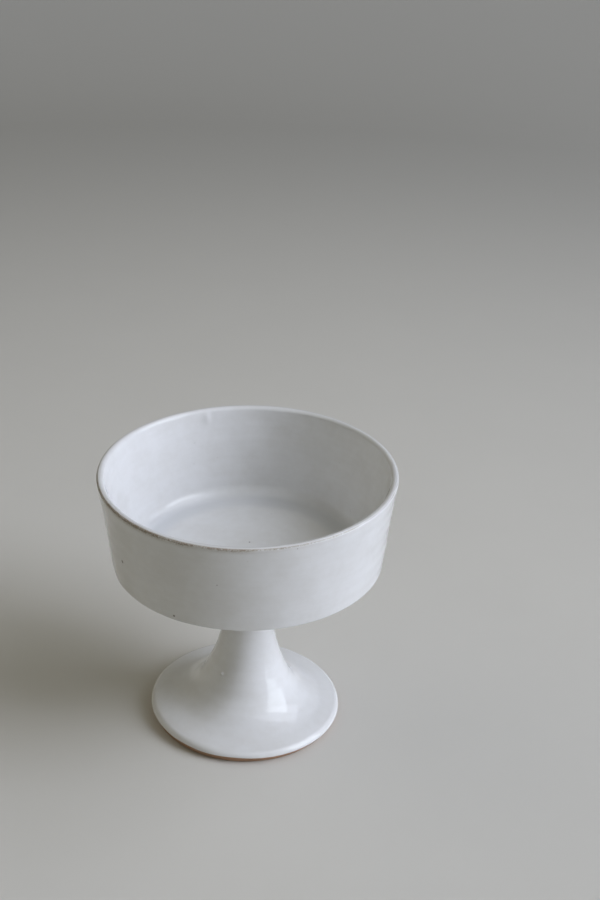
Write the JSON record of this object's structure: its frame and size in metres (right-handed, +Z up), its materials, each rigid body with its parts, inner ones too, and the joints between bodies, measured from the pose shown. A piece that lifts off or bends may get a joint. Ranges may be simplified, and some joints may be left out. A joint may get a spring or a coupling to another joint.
{
  "type": "pudding cup",
  "caption": "Footed dessert bowl with a straight flaring wall, flat floor and hollow trumpet pedestal, in white-glazed brown stoneware.",
  "frame": {"origin": "centre of the foot ring, on the plane that the cup stands on", "axes": "+Z up along the axis of the cup, from the foot to the rim; X and Y lie in the resting plane"},
  "size_m": [0.105, 0.105, 0.101],
  "materials": {
    "stoneware": "matte",
    "slip": "matte",
    "white_glaze": "gloss"
  },
  "bodies": {
    "root": {"bowl_body": "stoneware", "pedestal_body": "stoneware", "joint_slip": "slip", "inside_glaze": "white_glaze", "bowl_glaze": "white_glaze", "pedestal_glaze": "white_glaze"}
  },
  "joints": []
}
